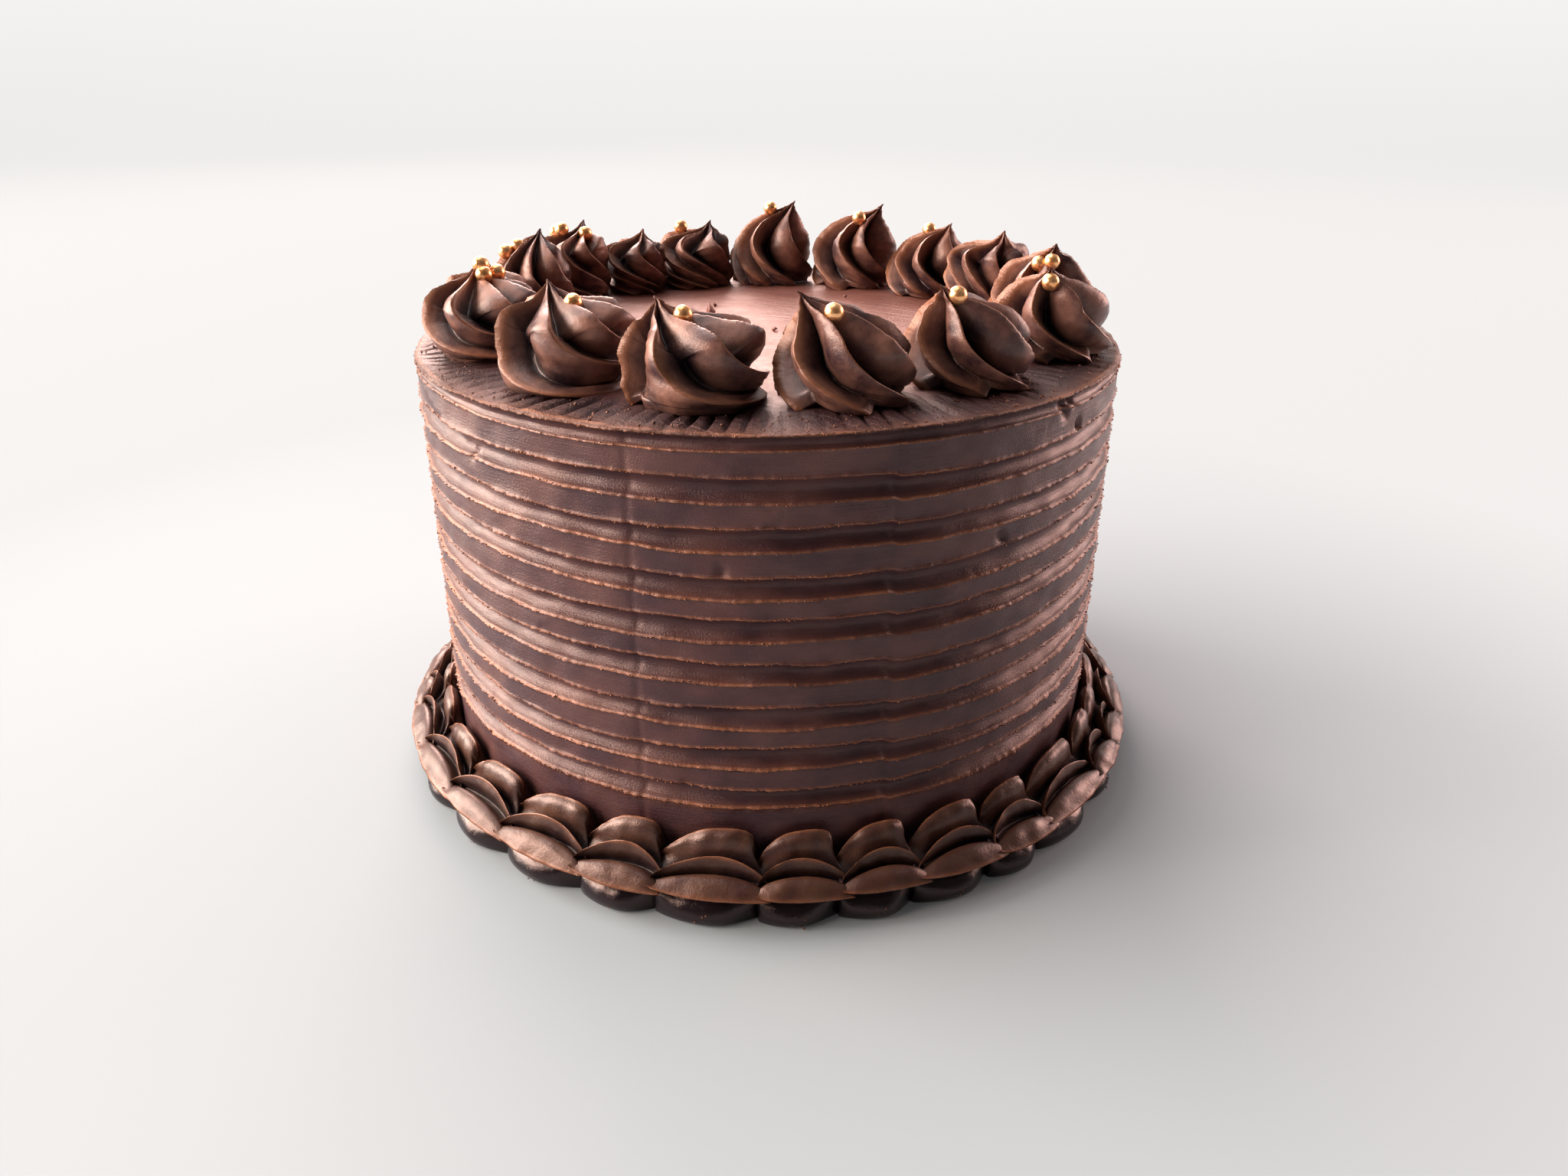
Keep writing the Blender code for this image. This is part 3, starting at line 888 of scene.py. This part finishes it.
CRUMB_SHAPE = np.array([(1, 0, 0), (-1, 0, 0), (0, 1, 0), (0, -1, 0), (0, 0, 1), (0, 0, -1)], dtype=float)
CRUMB_FACES = np.array([
    (0, 2, 4), (2, 1, 4), (1, 3, 4), (3, 0, 4),
    (2, 0, 5), (1, 2, 5), (3, 1, 5), (0, 3, 5),
])
BURR_CRUMBS = 380
FOOT_CRUMBS = 6
STRIP_CRUMBS = 700
# Bigger crumbs inside the ring: azimuth in degrees, radius and size in mm
TOP_CRUMBS = (
    (-132.5, 21.3, 2.0),
    (93.5, 28.7, 1.9),
    (31.2, 8.0, 1.4),
    (25.0, 4.0, 0.8),
    (-150.0, 30.0, 0.8),
    (-118.0, 34.0, 0.7),
    (150.0, 44.0, 0.5),
    (62.0, 40.0, 0.6),
)


def crumb_surface(centres, sizes, edge, seed):
    """Small angular crumbs, each its own closed lump."""
    draw = np.random.default_rng(seed)
    count = len(centres)
    shapes = CRUMB_SHAPE[None, :, :] * draw.uniform(0.5, 1.3, (count, 6, 1))
    shapes = shapes + draw.uniform(-0.3, 0.3, (count, 6, 3))
    vertices = centres[:, None, :] + shapes * sizes[:, None, None]
    faces = CRUMB_FACES[None, :, :] + 6 * np.arange(count)[:, None, None]
    quads = np.zeros((0, 4), dtype=int)
    return vertices.reshape(-1, 3), quads, faces.reshape(-1, 3), np.full(count * 6, edge)


def around_cake(angle, radius, height):
    """Points at each azimuth, radius and height."""
    return np.stack([radius * np.sin(angle), -radius * np.cos(angle), height + 0 * angle], axis=-1)


def burr_crumbs():
    """Crumbs of icing that hang on the comb's burrs."""
    draw = np.random.default_rng(71)
    centres, sizes = [], []
    for number in range(GROOVES):
        for side in (0, 1):
            angle = np.sort(draw.uniform(-math.pi, math.pi, BURR_CRUMBS))
            centre, width = comb_groove(number, angle)[:2]
            height = centre + (side - 0.5) * width + draw.normal(0, 0.10 * MM, len(angle))
            radius = side_face(angle, height) + draw.uniform(0.05, 0.45, len(angle)) * MM
            centres.append(around_cake(angle, radius, height))
            sizes.append(draw.uniform(0.08, 0.30, len(angle)) * MM)
    return crumb_surface(np.concatenate(centres), np.concatenate(sizes), 1.0, 72)


def foot_crumbs():
    """Crumbs of icing that stuck to the shells' glossy undersides."""
    draw = np.random.default_rng(81)
    joints = shell_joints()
    centres, sizes = [], []
    for first, last in zip(joints, joints[1:]):
        angle = first + (last - first) * draw.uniform(0.36, 0.50, FOOT_CRUMBS)
        level = draw.uniform(0.8, 4.0, FOOT_CRUMBS) * MM
        radius = CAKE_RADIUS + draw.uniform(11.7, 12.3, FOOT_CRUMBS) * MM
        centres.append(around_cake(angle, radius, level))
        sizes.append(draw.uniform(0.12, 0.40, FOOT_CRUMBS) * MM)
    return crumb_surface(np.concatenate(centres), np.concatenate(sizes), 0.5, 82)


def top_crumbs():
    """Crumbs scattered on the strip outside the rosettes, and a few bigger ones inside the ring."""
    draw = np.random.default_rng(73)
    angle = draw.uniform(-math.pi, math.pi, STRIP_CRUMBS)
    radius = draw.uniform(76, 86.6, STRIP_CRUMBS) * MM
    height = top_height(angle, radius) + 0.05 * MM
    sizes = draw.uniform(0.10, 0.42, STRIP_CRUMBS) * MM
    small = crumb_surface(around_cake(angle, radius, height), sizes, 0.6, 74)
    places = np.array(TOP_CRUMBS)
    turn, reach = np.radians(places[:, 0]), places[:, 1] * MM
    centres = around_cake(turn, reach, CAKE_TOP + 0.3 * places[:, 2] * MM)
    return join([small, crumb_surface(centres, places[:, 2] * MM, 0.1, 75)])


# Pearls

PEARL_RADIUS = 2.0 * MM
# Rosette, place along the ring, outwards and up from the rosette's foot, in mm
PEARLS = (
    (1, -2.4, 1.2, 17.0),
    (2, -4.2, 5.4, 18.6),
    (3, -7.4, 2.4, 19.4),
    (4, -8.8, 0.2, 17.6),
    (5, -7.2, -3.6, 16.4),
    (5, -9.2, -1.0, 17.2),
    (7, 0.2, -0.3, 17.3),
    (8, -3.5, -5.4, 19.6),
    (9, 0.5, -0.3, 20.8),
    (10, 2.8, 4.2, 15.6),
    (12, -1.3, 6.8, 16.8),
    (12, 0.4, 2.8, 18.0),
    (12, -3.8, -2.2, 16.8),
    (13, 1.4, 6.4, 15.2),
    (13, -1.4, 4.2, 16.4),
    (15, -5.4, -4.6, 16.9),
    (15, -3.0, -1.2, 17.0),
    (15, -5.6, -1.0, 18.9),
    (16, 1.8, -0.8, 16.6),
)


def ball(centre, radius, columns=28, rows=17):
    """A small closed ball."""
    tilt = np.linspace(0, math.pi, rows)[1:-1]
    turn = np.linspace(0, 2 * math.pi, columns, endpoint=False)
    ring = np.sin(tilt)[:, None]
    points = np.stack([ring * np.cos(turn), ring * np.sin(turn), -np.cos(tilt)[:, None] + 0 * turn], axis=-1)
    surface = capped_grid(points * radius, np.zeros(points.shape[:2]))
    surface[0][-2] = (0, 0, -radius)
    surface[0][-1] = (0, 0, radius)
    return surface[0] + np.asarray(centre), *surface[1:]


def pearl_surface(number, along, out, up):
    """One pearl in its place on its rosette."""
    azimuth, ring = ROSETTES[number - 1][:2]
    turn = math.radians(azimuth)
    onward = np.array([math.cos(turn), math.sin(turn), 0.0])
    away = np.array([math.sin(turn), -math.cos(turn), 0.0])
    centre = onward * along * MM + away * (ring + out) * MM
    centre[2] = CAKE_TOP + up * MM
    return ball(centre, PEARL_RADIUS)


# Studio

WORLD_STRENGTH = 0.40


def camera():
    """The photograph's camera."""
    data = bpy.data.cameras.new("photo_camera")
    data.sensor_width = 36.0
    data.lens = FOCAL_PIXELS / PHOTO_WIDTH * data.sensor_width
    data.clip_start = 0.01
    item = bpy.data.objects.new("photo_camera", data)
    forward = Vector((
        math.sin(CAMERA_YAW) * math.cos(CAMERA_PITCH),
        math.cos(CAMERA_YAW) * math.cos(CAMERA_PITCH),
        -math.sin(CAMERA_PITCH),
    ))
    right = Vector((math.cos(CAMERA_YAW), -math.sin(CAMERA_YAW), 0.0))
    down = forward.cross(right)
    c, s = math.cos(CAMERA_ROLL), math.sin(CAMERA_ROLL)
    right, down = c * right + s * down, -s * right + c * down
    axes = Matrix((right, -down, -forward)).transposed()
    item.matrix_world = Matrix.Translation(CAMERA_PLACE) @ axes.to_4x4()
    bpy.context.scene.collection.objects.link(item)
    bpy.context.scene.camera = item


def soft_light(name, spot, size, power, colour=(1.0, 1.0, 1.0)):
    """A square area light turned towards the cake's middle."""
    data = bpy.data.lights.new(name, "AREA")
    data.shape = "SQUARE"
    data.size = size
    data.energy = power
    data.color = colour
    item = bpy.data.objects.new(name, data)
    item.location = spot
    aim = Vector((0.0, 0.0, 70 * MM)) - Vector(spot)
    item.rotation_euler = aim.to_track_quat("-Z", "Y").to_euler()
    bpy.context.scene.collection.objects.link(item)


def backdrop():
    """Pale floor that sweeps up behind the cake, as a studio paper does."""
    reach, width, bend = 1.6, 4.0, 1.2
    rise = np.linspace(0, math.pi / 2, 13)
    depth = np.concatenate([[-2.5], reach + bend * np.sin(rise), [reach + bend]])
    height = np.concatenate([[0.0], bend * (1 - np.cos(rise)), [3.0]])
    rows = [np.stack([side * width + 0 * depth, depth, height], axis=1) for side in (-1, 1)]
    points = np.concatenate(rows)
    count = len(depth)
    first = np.arange(count - 1)
    quads = np.stack([first, first + count, first + count + 1, first + 1], axis=1)
    nothing = np.zeros((0, 3), dtype=int)
    return make_piece("backdrop", (points, quads, nothing, np.zeros(len(points))), floor_material())


def surround():
    """Even pale light from behind and the sides, dimmer from the front, so that hollows stay dark."""
    world = bpy.data.worlds.new("surround")
    world.use_nodes = True
    tree = world.node_tree
    towards = tree.nodes.new("ShaderNodeTexCoord")
    axes = tree.nodes.new("ShaderNodeSeparateXYZ")
    share = tree.nodes.new("ShaderNodeMapRange")
    share.inputs["From Min"].default_value = -0.6
    share.inputs["From Max"].default_value = 0.2
    blend = tree.nodes.new("ShaderNodeMix")
    blend.data_type = "RGBA"
    blend.inputs["A"].default_value = (0.20, 0.18, 0.17, 1.0)
    blend.inputs["B"].default_value = (0.80, 0.78, 0.75, 1.0)
    tree.links.new(towards.outputs["Generated"], axes.inputs["Vector"])
    tree.links.new(axes.outputs["Y"], share.inputs["Value"])
    tree.links.new(share.outputs["Result"], blend.inputs["Factor"])
    tree.links.new(blend.outputs["Result"], tree.nodes["Background"].inputs["Color"])
    tree.nodes["Background"].inputs["Strength"].default_value = WORLD_STRENGTH
    bpy.context.scene.world = world


def studio():
    """Backdrop, a big soft light at the left, weaker ones behind, above and at the right, and a surround."""
    backdrop()
    soft_light("window", (-1.45, 0.25, 0.60), 1.3, 88.0, (1.0, 0.86, 0.74))
    soft_light("left_fill", (-0.95, -0.40, 0.55), 0.5, 11.0, (1.0, 0.83, 0.70))
    soft_light("back_window", (-0.35, 1.35, 0.80), 0.9, 42.0, (1.0, 0.72, 0.64))
    soft_light("ceiling", (-0.5, 0.5, 1.8), 1.3, 16.0)
    soft_light("wall", (1.40, 0.60, 0.40), 0.8, 22.0, (1.0, 0.64, 0.56))
    surround()
    bpy.context.scene.view_settings.view_transform = "Standard"


def build():
    """Make every visible piece of the cake."""
    icing, gold = icing_material(), pearl_material()
    piping = piping_material("rosette_icing", ROSETTE_DARK, ROSETTE_WARM)
    border = piping_material("border_icing", BORDER_DARK, BORDER_WARM)
    place(make_piece("iced_cake", cake_surface(), icing), "icing", "cake_body")
    for number, values in enumerate(ROSETTES, start=1):
        piece = make_piece(f"piped_rosette_{number:02d}", rosette_surface(number, *values), piping)
        place(piece, "piping", f"rosette_{number:02d}")
    place(make_piece("icing_crumbs", join([burr_crumbs(), foot_crumbs(), top_crumbs()]), icing), "icing")
    shells = join([shell_surface(number) for number in range(SHELLS)])
    place(make_piece("piped_shell_border", shells, border), "piping", "shell_border")
    pearls = join([pearl_surface(*values) for values in PEARLS])
    place(make_piece("sugar_pearls", pearls, gold), "pearl")


camera()
build()
studio()
